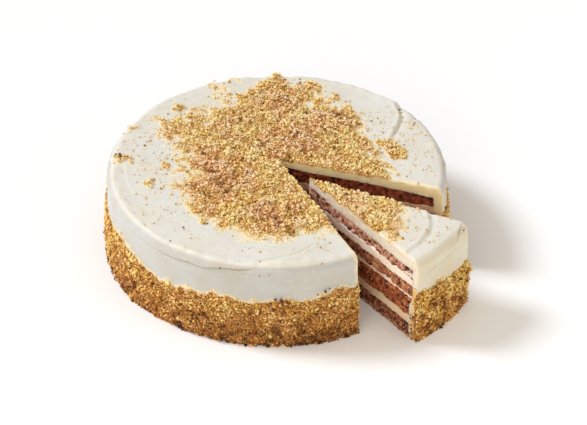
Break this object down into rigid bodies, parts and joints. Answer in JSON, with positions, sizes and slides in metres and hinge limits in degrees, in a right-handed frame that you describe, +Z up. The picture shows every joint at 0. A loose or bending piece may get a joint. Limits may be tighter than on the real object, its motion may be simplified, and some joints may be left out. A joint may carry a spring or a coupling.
{
  "type": "carrot cake",
  "caption": "Round layered carrot cake with white frosting and golden crumbs, cut open, one slice drawn a little way out of the gap.",
  "frame": {"origin": "on the surface that the cake stands on, under the middle of the box round cake and slice", "axes": "+Z up through the layers, -Y towards the viewer, +X to the right, towards the side that is cut open"},
  "size_m": [0.2596, 0.2484, 0.067],
  "materials": {
    "sponge": "matte, moist open crumb",
    "filling": "soft satin cream",
    "frosting": "soft satin cream, spatula smoothed",
    "crumb": "dry matte golden crumbs"
  },
  "bodies": {
    "root": {"cake_sponge_1": "sponge", "cake_filling_1": "filling", "cake_sponge_2": "sponge", "cake_filling_2": "filling", "cake_sponge_3": "sponge", "cake_filling_3": "filling", "cake_sponge_4": "sponge", "cake_frosting": "frosting", "slice_sponge_1": "sponge", "slice_filling_1": "filling", "slice_sponge_2": "sponge", "slice_filling_2": "filling", "slice_sponge_3": "sponge", "slice_filling_3": "filling", "slice_sponge_4": "sponge", "slice_frosting": "frosting"}
  },
  "joints": []
}
